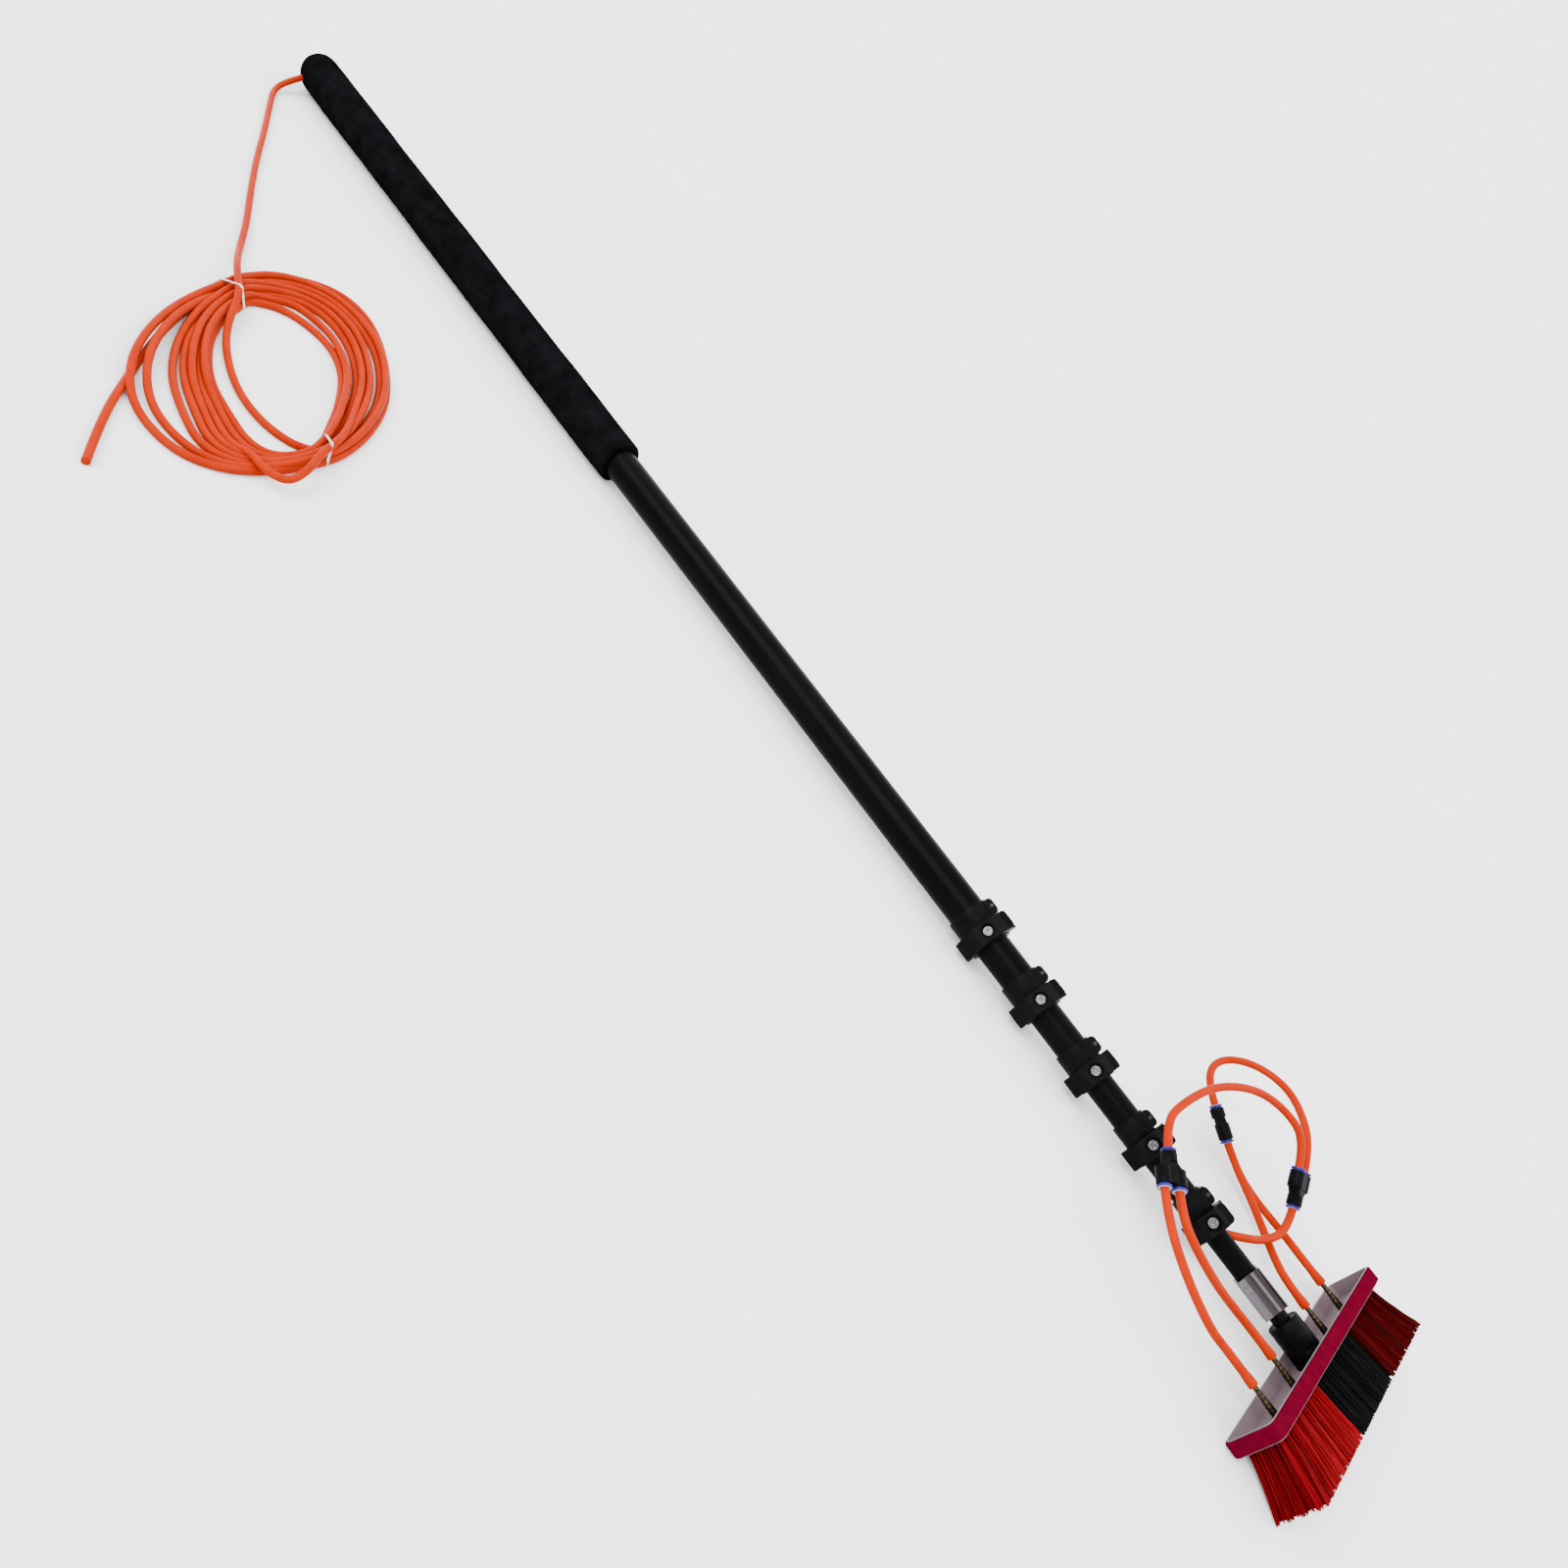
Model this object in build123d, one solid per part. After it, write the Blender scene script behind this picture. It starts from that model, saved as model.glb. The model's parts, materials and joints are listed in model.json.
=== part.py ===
from build123d import *
import math
import os

os.makedirs("parts", exist_ok=True)

# Lengths are mm. "s" runs along the pole from the centre of the grip's domed end
# towards the brush. The row frame has its origin half way along, on the floor.
GRIP_R = 28.0
AXIS_Z = GRIP_R
BRUSH_TIP_S = 2041.0
MID_S = (BRUSH_TIP_S - GRIP_R) / 2

# telescopic tubes, largest first
TUBE_OD = [40.0, 36.3, 32.6, 28.9, 25.2, 21.5]
TUBE_WALL = 1.25
TUBE_START = [16.0, 40.0, 48.0, 56.0, 64.0, 72.0]
TUBE_END = [1505.0, 1588.0, 1671.0, 1754.0, 1837.0, 1914.0]
GUIDE_LENGTH = 200.0
GUIDE_CLEARANCE = 0.06

# grip and butt plug
GRIP_END_S = 806.0
GRIP_BORE_R = TUBE_OD[0] / 2
PLUG_HEAD_S = -16.0
PLUG_SPIGOT = 18.0
GRIP_EDGE = 3.0
HOSE_R = 4.0
HOSE_BORE_R = HOSE_R + 0.02
HOSE_EXIT_S = -8.0
HOSE_EXIT_DIR = (0.25, -0.91, -0.33)
HOSE_EXIT_REACH = 34.0
HOSE_EXIT_SEAT = 8.0
SLOT_CLEARANCE = 0.8
INNER_HOSE_S = 120.0
FEED_LEAD = 28.0

# clamp collars, in a frame whose u axis runs from the tube to the hinge, whose v axis
# runs from the tube to the lever's face, and whose z axis runs along the pole
LUG_DIR = (0.0, 0.6057, 0.7957)
SLEEVE_LENGTH = 20.0
BAND_LENGTH = 22.0
COLLAR_WALL = 2.3
COLLAR_EDGE = 0.8
SLIDE_CLEARANCE = 0.08
HINGE_OUT = 4.3
HINGE_UP = 3.0
PIN_R = 1.6
PIN_CLEARANCE = 0.05
EAR_R = 4.2
EAR_LENGTH = 5.0
EAR_WEB_UP = 1.0
KNUCKLE_R = 4.0
KNUCKLE_GAP = 0.35
HINGE_ROOM_R = 4.6
LEVER_GAP = 0.4
LEVER_INSET = 1.0
LEVER_UP = 7.0
LEVER_EDGE = 1.5
FACE_LEFT = 0.45
FACE_RIM = 0.9
KNOB_OUT = 3.8
KNOB_IN = 3.0
KNOB_HIGH = 15.0
KNOB_SHOULDER = 12.0
KNOB_LOW = 2.5
KNOB_CORNER = 4.5
TAB_REACH = 10.0
TAB_LOW = 1.5
TAB_HIGH = 7.5
TAB_CORNER = 1.2
SCREW_U = 4.0
POCKET_R = 7.4
POCKET_DEPTH = 5.0
SCREW_HEAD_R = 4.6
SCREW_HEAD_H = 3.0
SCREW_SHANK_R = 2.5
SCREW_HEX_R = 2.3
SCREW_HEX_DEPTH = 2.0
SCREW_TIP_SINK = 0.2
SHOE_HALF = 5.0
SHOE_GAP = 0.1
SHOE_SINK = 0.5
SMALL_LUG_OUT = 5.0
SMALL_LUG_IN = 7.0
SMALL_LUG_V = (-2.0, 12.5)
SMALL_LUG_Z = (-18.0, -1.0)
SMALL_LUG_CORNER = 4.5
FIXING_OUT = 1.8
FIXING_R = 1.8
FIXING_DEPTH = 5.0
FIXING_SINK = 0.2

# square bracket on the smallest tube, in the same u and v directions
BRACKET_S = 1900.0
BRACKET_LENGTH = 39.0
BRACKET_SIDE = 24.5
BRACKET_CORNER = 3.0
FLAP_WIDTH = 8.25
FLAP_RAISE = 1.0
LIP_WIDTH = 1.25
LIP_RAISE = 2.5
BRACKET_SCREW_U = -8.0
BRACKET_SCREW_Z = 10.0
BRACKET_SHANK_R = 1.5
BRACKET_SHANK_SINK = 3.0
BRACKET_HEAD_R = 2.6
BRACKET_HEAD_H = 1.2
BRACKET_HEX_R = 1.3
BRACKET_HEX_FLOOR = 0.2

# core rod and socket
CORE_R = 8.5
SOCKET_S = 1948.0
SOCKET_R = 15.5
SOCKET_EDGE = 1.5
SOCKET_SCREW_OUT = 11.8
SOCKET_SCREW_R = 2.0
SOCKET_SCREW_SINK = 1.4
SOCKET_SCREW_DEPTH = 12.0
GROOVE_S = 1974.0
GROOVE_WIDTH = 1.8
GROOVE_DEPTH = 1.1
GROOVE_SPAN = 12.0

# brush: a shallow tray with a band round it
TRAY_S = 1974.0
FLOOR_S = 1987.0
ROOT_S = 1989.0
BAND_S = 1974.8
BAND_END_S = 1988.0
BRUSH_LENGTH = 282.0
BRUSH_WIDTH = 2 * GRIP_R
BRUSH_CORNER = 9.0
BAND_THICK = 2.5
BAND_EDGE = 1.2
TRAY_WALL = 1.2
BRISTLE_ROOT_L = 256.0
BRISTLE_ROOT_W = 40.0
BRISTLE_TIP_L = 296.0
BRISTLE_TIP_W = 52.0
BLACK_HALF = 47.0
BARB_Y = [-93.0, -46.0, 46.0, 93.0]
BARB_TOP = 1958.0
BARB_TIP_R = 2.2
BARB_ROOT_R = 3.2
BARB_RIDGE = 0.5
BARB_RIDGES = 7
BRISTLE_SEAM = 0.3

# Y connectors: single port position, direction to the double ports, and the
# direction from one double port to the other
Y_LENGTH = 38.0
Y_SPACING = 14.5
Y_PORT_R = 7.2
RING_R = 6.6
RING_LENGTH = 3.2
HOSE_SEAT = 6.0
SINGLE_LENGTH = 13.0
WAIST_SIDE = 11.0
WAIST_WIDE = 24.0
WAIST_DEEP = 12.0
WAIST_CORNER = 4.0
WAIST_LENGTH = 9.0
RING_EDGE = 0.8
Y_FEED = ((1890.5, 97.0, 52.0), (-0.56, 0.62, 0.55), (0.53, 0.78, -0.34))
Y_NEAR = ((1771.3, -58.3, 83.0), (0.694, -0.71, -0.122), (0.718, 0.668, 0.198))
Y_FAR = ((1778.3, 139.3, 32.0), (0.926, -0.251, -0.281), (0.067, 0.844, -0.532))

# coil of the supply hose lying on the floor, seen from above
COIL_H = 26.0
COIL_EDGE = 7.0
TIE_W = 3.5
TIE_ENDS = [((521, -350), (556, -362)), ((769, -362), (801, -372))]
TIE_OVER = 2.0
TIE_RISE = 0.8
TIE_CORNER = 4.0
COIL_OUTER = [
    (497, -215), (540, -194), (610, -207), (680, -237), (735, -283), (775, -335),
    (806, -390), (822, -450), (806, -505), (755, -534), (690, -522), (625, -486),
    (570, -424), (520, -352), (485, -290),
]
COIL_INNER = [
    (548, -312), (566, -287), (602, -273), (648, -278), (695, -300), (740, -333),
    (772, -368), (776, -394), (748, -412), (700, -414), (640, -400), (590, -376), (556, -346),
]


def at(s, y, z):
    return Vector(s - MID_S, y, z)


def unit(d):
    return Vector(*d).normalized()


def rod(start, direction, length, radius):
    plane = Plane(origin=start, z_dir=direction)
    return plane * Cylinder(radius, length, align=(Align.CENTER, Align.CENTER, Align.MIN))


def axial(s0, s1, radius):
    return rod(at(s0, 0, AXIS_Z), Vector(1, 0, 0), s1 - s0, radius)


def save(name, shapes):
    solids = shapes if isinstance(shapes, list) else [shapes]
    parts = [p for shape in solids for p in shape.solids()]
    export_step(parts[0] if len(parts) == 1 else Compound(children=parts), f"parts/{name}.step")
    print(name, len(parts), "solids", round(sum(p.volume for p in parts) / 1000, 2), "cm3")


def hose(name, points, radius=HOSE_R):
    """A round solid tube: straight runs joined by tangent arcs."""
    pts = [at(*p) for p in points]
    lines = []
    cursor = pts[0]
    length = 0
    radii = []
    for a, b, c in zip(pts, pts[1:], pts[2:]):
        into = (b - a).normalized()
        out = (c - b).normalized()
        half = math.acos(max(-1, min(1, into.dot(out)))) / 2
        bend = 0.45 * min((b - a).length, (c - b).length) / math.tan(half)
        tangent = bend * math.tan(half)
        start = b - into * tangent
        end = b + out * tangent
        lines.append(Line(cursor, start))
        lines.append(TangentArc(start, end, tangent=into))
        length += (start - cursor).length + 2 * half * bend
        radii.append(round(bend, 1))
        cursor = end
    lines.append(Line(cursor, pts[-1]))
    length += (pts[-1] - cursor).length
    path = Wire(lines)
    section = Plane(origin=pts[0], z_dir=pts[1] - pts[0]) * Circle(radius)
    tube = sweep(section, path=path)
    ratio = tube.volume / (math.pi * radius**2 * length)
    print(f"hose {name}: length {length:.1f} radii {radii} volume ratio {ratio:.4f}")
    return tube


# ---- tubes and guide sleeves
inner_bore = [od / 2 - TUBE_WALL for od in TUBE_OD]
feed_points = [(1819, 0, 28), (1855, 0, 28), (1877, 23, 34), (1894, 51, 33)]
feed_in = unit(Y_FEED[1])


def port_end(y, side):
    """Seat of a hose in one port: 0 single, -1 and 1 the double ports."""
    base, a, b = y
    a = unit(a)
    b = unit(b)
    b = (b - a * a.dot(b)).normalized()
    p = Vector(*base)
    if side == 0:
        return p + a * HOSE_SEAT, a * -1
    return p + a * (Y_LENGTH - HOSE_SEAT) + b * (side * Y_SPACING / 2), a


def tup(v):
    return (v.X, v.Y, v.Z)


seat, outward = port_end(Y_FEED, 0)
feed_points += [tup(seat + outward * FEED_LEAD), tup(seat)]
feed_hose = hose("feed", feed_points)
feed_slot = hose("feed slot", feed_points, HOSE_R + SLOT_CLEARANCE)

for i, od in enumerate(TUBE_OD):
    tube = axial(TUBE_START[i], TUBE_END[i], od / 2) - axial(TUBE_START[i], TUBE_END[i], inner_bore[i])
    if i == 5:
        tube = tube - feed_slot
    save(f"tube_{i + 1}", tube)
for i in range(1, 6):
    s0 = TUBE_START[i]
    sleeve = axial(s0, s0 + GUIDE_LENGTH, inner_bore[i - 1] - GUIDE_CLEARANCE)
    save(f"guide_sleeve_{i + 1}", sleeve - axial(s0, s0 + GUIDE_LENGTH, TUBE_OD[i] / 2))

# ---- foam grip and butt plug
exit_dir = unit(HOSE_EXIT_DIR)
exit_start = at(HOSE_EXIT_S, 0, AXIS_Z)
grip = axial(0, GRIP_END_S, GRIP_R) + Pos(*tup(at(0, 0, AXIS_Z))) * Sphere(GRIP_R)
grip = fillet(grip.edges().filter_by(GeomType.CIRCLE).sort_by(Axis.X)[-1], GRIP_EDGE)
grip = grip - axial(PLUG_HEAD_S, GRIP_END_S, GRIP_BORE_R)
grip = grip - rod(exit_start, exit_dir, HOSE_EXIT_REACH, HOSE_BORE_R + 0.3)
save("foam_grip", grip)
plug = axial(PLUG_HEAD_S, TUBE_START[0], GRIP_BORE_R)
plug = plug + axial(TUBE_START[0], TUBE_START[0] + PLUG_SPIGOT, inner_bore[0])
plug = plug - rod(exit_start, exit_dir, HOSE_EXIT_REACH, HOSE_BORE_R)
save("butt_plug", plug)


# ---- collars, levers and their hardware
def bar(u, v, z0, z1, r):
    """A round bar along the pole in a clamp's own frame."""
    return Pos(u, v, z0) * Cylinder(r, z1 - z0, align=(Align.CENTER, Align.CENTER, Align.MIN))


def block(u0, u1, v0, v1, z0, z1):
    return Pos(u0, v0, z0) * Box(u1 - u0, v1 - v0, z1 - z0, align=(Align.MIN, Align.MIN, Align.MIN))


def across(u, v0, v1, z, r):
    """A round stud square to the pole, from v0 to v1."""
    stud = Cylinder(r, v1 - v0, align=(Align.CENTER, Align.CENTER, Align.MIN))
    return Pos(u, v0, z) * Rot(-90, 0, 0) * stud


def pad(u0, u1, v0, v1, z0, z1, left_r, right_r):
    """A block whose corners are rounded as seen from its face."""
    outline_uz = make_face(Polyline((u0, z0), (u1, z0), (u1, z1), (u0, z1), close=True))
    corners = outline_uz.vertices().sort_by(Axis.X)
    if left_r > 0:
        outline_uz = fillet(corners[:2], left_r)
        corners = outline_uz.vertices().sort_by(Axis.X)
    outline_uz = fillet(corners[-2:], right_r)
    return Pos(0, v1, 0) * Rot(90, 0, 0) * extrude(outline_uz, v1 - v0)


class Clamp:
    """Radii and places of one clamp, worked out from its two tubes."""

    def __init__(self, k):
        self.big = TUBE_OD[k] / 2
        self.small = TUBE_OD[k + 1] / 2
        self.band_r = self.big + COLLAR_WALL
        self.shell_in = self.band_r + LEVER_GAP
        self.pin_u = self.band_r + HINGE_OUT
        self.face_v = self.band_r + LEVER_UP
        self.fix_u = self.band_r + FIXING_OUT
        self.frame = Plane(origin=at(TUBE_END[k], 0, AXIS_Z), x_dir=LUG_DIR, z_dir=(1, 0, 0))


BAND_MID = BAND_LENGTH / 2
FIXING_Z = sum(SMALL_LUG_Z) / 2
LEVER_Z0 = LEVER_INSET
LEVER_Z1 = BAND_LENGTH - LEVER_INSET
KNUCKLE_Z0 = LEVER_INSET + EAR_LENGTH + KNUCKLE_GAP
KNUCKLE_Z1 = BAND_LENGTH - KNUCKLE_Z0


def shoe_box(c, gap):
    side = SHOE_HALF + gap
    return block(SCREW_U - side, SCREW_U + side, 0, c.band_r * 2, BAND_MID - side, BAND_MID + side)


def collar(c):
    body = bar(0, 0, -SLEEVE_LENGTH, BAND_LENGTH, c.band_r)
    body = fillet(body.edges().filter_by(GeomType.CIRCLE), COLLAR_EDGE)
    for z0 in (LEVER_Z0, LEVER_Z1 - EAR_LENGTH):
        z1 = z0 + EAR_LENGTH
        body = body + bar(c.pin_u, HINGE_UP, z0, z1, EAR_R)
        body = body + block(c.band_r - EAR_R, c.pin_u, HINGE_UP - EAR_R, HINGE_UP + EAR_WEB_UP, z0, z1)
    lug_u0 = c.band_r - SMALL_LUG_IN
    lug_u1 = c.band_r + SMALL_LUG_OUT
    body = body + pad(lug_u0, lug_u1, *SMALL_LUG_V, *SMALL_LUG_Z, 0, SMALL_LUG_CORNER)
    body = body - bar(0, 0, -SLEEVE_LENGTH, 0, c.big)
    body = body - bar(0, 0, 0, BAND_LENGTH, c.small + SLIDE_CLEARANCE)
    body = body - bar(c.pin_u, HINGE_UP, 0, BAND_LENGTH, PIN_R)
    top = SMALL_LUG_V[1]
    body = body - across(c.fix_u, top - FIXING_DEPTH, top + 1, FIXING_Z, FIXING_R)
    return body - shoe_box(c, SHOE_GAP)


def brake_shoe(c):
    shoe = shoe_box(c, 0) & bar(0, 0, 0, BAND_LENGTH, c.band_r - SHOE_SINK)
    return shoe - bar(0, 0, 0, BAND_LENGTH, c.small + SLIDE_CLEARANCE)


def hinge_pin(c):
    top = SMALL_LUG_V[1]
    pin = bar(c.pin_u, HINGE_UP, LEVER_Z0, LEVER_Z1, PIN_R)
    fixing = across(c.fix_u, top - FIXING_DEPTH, top - FIXING_SINK, FIXING_Z, FIXING_R)
    return [c.frame * pin, c.frame * fixing]


def lever(c):
    """A thumb lever: a tab, a flat face with the screw's pocket, and a knob over the hinge."""
    tab_u = -(c.big + TAB_REACH)
    knob_u = c.pin_u + KNOB_OUT
    section = [
        (tab_u, TAB_LOW),
        (tab_u, TAB_HIGH),
        (-FACE_LEFT * c.band_r, c.face_v),
        (SCREW_U + POCKET_R + FACE_RIM, c.face_v),
        (c.pin_u - KNOB_IN, HINGE_UP + KNOB_HIGH),
        (knob_u, HINGE_UP + KNOB_SHOULDER),
        (knob_u, HINGE_UP + KNOB_LOW),
    ]
    side_view = make_face(Polyline(*section, close=True))
    side_view = fillet(side_view.vertices(), LEVER_EDGE)
    body = Pos(0, 0, LEVER_Z0) * extrude(side_view, LEVER_Z1 - LEVER_Z0)
    body = body & pad(tab_u, knob_u, 0, 2 * c.face_v, LEVER_Z0, LEVER_Z1, TAB_CORNER, KNOB_CORNER)
    body = body - bar(c.pin_u, HINGE_UP, 0, BAND_LENGTH, HINGE_ROOM_R)
    body = body + bar(c.pin_u, HINGE_UP, KNUCKLE_Z0, KNUCKLE_Z1, KNUCKLE_R)
    neck_v1 = HINGE_UP + KNOB_SHOULDER - LEVER_EDGE
    body = body + block(c.pin_u - KNUCKLE_R, knob_u, HINGE_UP, neck_v1, KNUCKLE_Z0, KNUCKLE_Z1)
    body = body - bar(0, 0, 0, BAND_LENGTH, c.shell_in)
    body = body - bar(c.pin_u, HINGE_UP, 0, BAND_LENGTH, PIN_R + PIN_CLEARANCE)
    body = body - across(SCREW_U, c.face_v - POCKET_DEPTH, c.face_v + 1, BAND_MID, POCKET_R)
    return body - across(SCREW_U, 0, c.face_v, BAND_MID, SCREW_SHANK_R)


def tension_screw(c):
    head_v = c.face_v - POCKET_DEPTH
    hex_v = head_v + SCREW_HEAD_H - SCREW_HEX_DEPTH
    screw = across(SCREW_U, c.band_r - SCREW_TIP_SINK, head_v, BAND_MID, SCREW_SHANK_R)
    screw = screw + across(SCREW_U, head_v, head_v + SCREW_HEAD_H, BAND_MID, SCREW_HEAD_R)
    hexagon = extrude(RegularPolygon(SCREW_HEX_R, 6), 2 * SCREW_HEX_DEPTH)
    return screw - Pos(SCREW_U, hex_v, BAND_MID) * Rot(-90, 0, 0) * hexagon


for k in range(5):
    clamp = Clamp(k)
    save(f"collar_{k + 1}", clamp.frame * collar(clamp))
    save(f"brake_shoe_{k + 1}", clamp.frame * brake_shoe(clamp))
    save(f"hinge_pin_{k + 1}", hinge_pin(clamp))
    save(f"lever_{k + 1}", clamp.frame * lever(clamp))
    save(f"tension_screw_{k + 1}", clamp.frame * tension_screw(clamp))

# ---- bracket, core and socket
half = BRACKET_SIDE / 2
bracket_frame = Plane(origin=at(BRACKET_S, 0, AXIS_Z), x_dir=LUG_DIR, z_dir=(1, 0, 0))
bracket = extrude(RectangleRounded(BRACKET_SIDE, BRACKET_SIDE, BRACKET_CORNER), BRACKET_LENGTH)
flap_v0 = half - BRACKET_CORNER
bracket = bracket + pad(-half, FLAP_WIDTH - half, flap_v0, half + FLAP_RAISE, 0, BRACKET_LENGTH, 0, 1)
bracket = bracket + block(half - LIP_WIDTH, half, flap_v0, half + LIP_RAISE, 0, BRACKET_LENGTH)
bracket = bracket - bar(0, 0, 0, TUBE_END[5] - BRACKET_S, TUBE_OD[5] / 2)
bracket = bracket - bar(0, 0, TUBE_END[5] - BRACKET_S, BRACKET_LENGTH, CORE_R)
shank_v0 = half - BRACKET_SHANK_SINK
head_v0 = half + FLAP_RAISE
head_v1 = head_v0 + BRACKET_HEAD_H
bracket = bracket - across(BRACKET_SCREW_U, shank_v0, head_v1, BRACKET_SCREW_Z, BRACKET_SHANK_R)
save("bracket", bracket_frame * bracket)
bracket_screw = across(BRACKET_SCREW_U, shank_v0, head_v0, BRACKET_SCREW_Z, BRACKET_SHANK_R)
bracket_screw = bracket_screw + across(BRACKET_SCREW_U, head_v0, head_v1, BRACKET_SCREW_Z, BRACKET_HEAD_R)
hexagon = extrude(RegularPolygon(BRACKET_HEX_R, 6), BRACKET_HEAD_H)
hexagon = Pos(BRACKET_SCREW_U, head_v0 + BRACKET_HEX_FLOOR, BRACKET_SCREW_Z) * Rot(-90, 0, 0) * hexagon
bracket_screw = bracket_screw - hexagon
save("bracket_screw", bracket_frame * bracket_screw)

save("tip_core", axial(TUBE_END[5], FLOOR_S, CORE_R))
socket = axial(SOCKET_S, FLOOR_S, SOCKET_R)
socket = fillet(socket.edges().filter_by(GeomType.CIRCLE).sort_by(Axis.X)[0], SOCKET_EDGE)
socket = socket - axial(SOCKET_S, FLOOR_S, CORE_R)
socket_frame = Plane(origin=at(SOCKET_S, 0, AXIS_Z), x_dir=LUG_DIR, z_dir=(1, 0, 0))
socket_screws = []
for u in (-SOCKET_SCREW_OUT, SOCKET_SCREW_OUT):
    socket = socket - socket_frame * bar(u, 0, 0, SOCKET_SCREW_DEPTH, SOCKET_SCREW_R)
    screw = bar(u, 0, SOCKET_SCREW_SINK, SOCKET_SCREW_DEPTH, SOCKET_SCREW_R)
    socket_screws.append(socket_frame * screw)
groove_z = GROOVE_S - SOCKET_S
groove_ring = bar(0, 0, groove_z, groove_z + GROOVE_WIDTH, 2 * SOCKET_R)
groove_ring = groove_ring - bar(0, 0, groove_z, groove_z + GROOVE_WIDTH, SOCKET_R - GROOVE_DEPTH)
groove_u0 = SCREW_U - GROOVE_SPAN / 2
groove_side = block(groove_u0, groove_u0 + GROOVE_SPAN, 0, 2 * SOCKET_R, 0, FLOOR_S - SOCKET_S)
socket = socket - socket_frame * (groove_ring & groove_side)
save("socket", socket)
save("socket_screws", socket_screws)

# ---- brush tray, band, barbs, bristles
face = Plane(origin=at(TRAY_S, 0, AXIS_Z), x_dir=(0, 1, 0), z_dir=(1, 0, 0))


def slab(s0, s1, inset):
    """The brush's rounded outline, drawn in by an inset, from s0 to s1."""
    outline_yz = RectangleRounded(BRUSH_LENGTH - 2 * inset, BRUSH_WIDTH - 2 * inset, BRUSH_CORNER - inset)
    return face * (Pos(0, 0, s0 - TRAY_S) * extrude(outline_yz, s1 - s0))


tray_inset = BAND_THICK + TRAY_WALL
save("brush_block", slab(TRAY_S, ROOT_S, BAND_THICK) - slab(TRAY_S, FLOOR_S, tray_inset))
bumper = slab(BAND_S, BAND_END_S, 0)
flat_faces = bumper.faces().filter_by(Axis.X)
bumper = fillet(flat_faces.edges(), BAND_EDGE)
save("bumper", bumper - slab(BAND_S, BAND_END_S, BAND_THICK))


def hose_barb(y):
    """A tapered tail with shallow saw-tooth ridges."""
    length = FLOOR_S - BARB_TOP
    step = length / BARB_RIDGES
    profile = [(0, 0)]
    for i in range(BARB_RIDGES):
        r = BARB_TIP_R + (BARB_ROOT_R - BARB_TIP_R) * i / (BARB_RIDGES - 1)
        profile += [(r, i * step), (r + BARB_RIDGE, (i + 0.8) * step)]
    profile += [(BARB_ROOT_R + BARB_RIDGE, length), (0, length)]
    side_view = make_face(Polyline(*[(r, 0, z) for r, z in profile], close=True))
    seat_plane = Plane(origin=at(BARB_TOP, y, AXIS_Z), x_dir=(0, 1, 0), z_dir=(1, 0, 0))
    return seat_plane * revolve(side_view, Axis.Z)


save("hose_barbs", [hose_barb(y) for y in BARB_Y])


def bristle_block(y0, y1, tip0, tip1):
    hw0 = BRISTLE_ROOT_W / 2
    hw1 = BRISTLE_TIP_W / 2
    root = Plane(origin=at(ROOT_S, 0, AXIS_Z), x_dir=(0, 1, 0), z_dir=(1, 0, 0))
    tip = Plane(origin=at(BRUSH_TIP_S, 0, AXIS_Z), x_dir=(0, 1, 0), z_dir=(1, 0, 0))
    lower = root * make_face(Polyline((y0, -hw0), (y1, -hw0), (y1, hw0), (y0, hw0), close=True))
    upper = tip * make_face(Polyline((tip0, -hw1), (tip1, -hw1), (tip1, hw1), (tip0, hw1), close=True))
    return loft([lower, upper])


half_l = BRISTLE_ROOT_L / 2
half_t = BRISTLE_TIP_L / 2
red_start = BLACK_HALF + BRISTLE_SEAM
save("bristles_near", bristle_block(-half_l, -red_start, -half_t, -red_start))
save("bristles_middle", bristle_block(-BLACK_HALF, BLACK_HALF, -BLACK_HALF, BLACK_HALF))
save("bristles_far", bristle_block(red_start, half_l, red_start, half_t))

# ---- Y connectors and release rings
def upright(x, z, length, r):
    return Pos(x, 0, z) * Cylinder(r, length, align=(Align.CENTER, Align.CENTER, Align.MIN))


bodies = []
rings = []
double_z = SINGLE_LENGTH + 6
double_length = Y_LENGTH - RING_LENGTH - double_z
bore = upright(0, 0, HOSE_SEAT, HOSE_BORE_R)
ring = upright(0, 0, RING_LENGTH, RING_R) - bore
ring = fillet(ring.edges().filter_by(GeomType.CIRCLE).sort_by(Axis.Z)[0], RING_EDGE)
for base, a, b in (Y_FEED, Y_NEAR, Y_FAR):
    a = unit(a)
    b = unit(b)
    b = (b - a * a.dot(b)).normalized()
    body_frame = Plane(origin=at(*base), x_dir=b, z_dir=a)
    body = upright(0, RING_LENGTH, SINGLE_LENGTH - RING_LENGTH, Y_PORT_R)
    waist_z = SINGLE_LENGTH - 2
    neck = Pos(0, 0, waist_z) * RectangleRounded(WAIST_SIDE, WAIST_SIDE, WAIST_CORNER)
    shoulder = Pos(0, 0, waist_z + WAIST_LENGTH) * RectangleRounded(WAIST_WIDE, WAIST_DEEP, WAIST_CORNER)
    body = body + loft([neck, shoulder])
    bridge = extrude(RectangleRounded(Y_SPACING, WAIST_DEEP + 1, 2), double_length - 2)
    body = body + Pos(0, 0, waist_z + WAIST_LENGTH) * bridge
    for side in (-1, 1):
        body = body + upright(side * Y_SPACING / 2, double_z, double_length, Y_PORT_R)
    body = body - bore
    rings.append(body_frame * ring)
    for side in (-1, 1):
        shift = Pos(side * Y_SPACING / 2, 0, Y_LENGTH) * Rot(180, 0, 0)
        body = body - shift * bore
        rings.append(body_frame * (shift * ring))
    bodies.append(body_frame * body)
save("y_connectors", bodies)
save("release_rings", rings)

# ---- hoses at the brush end
save("feed_hose", feed_hose)
save("inner_hose", axial(INNER_HOSE_S, feed_points[0][0], HOSE_R))


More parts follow.
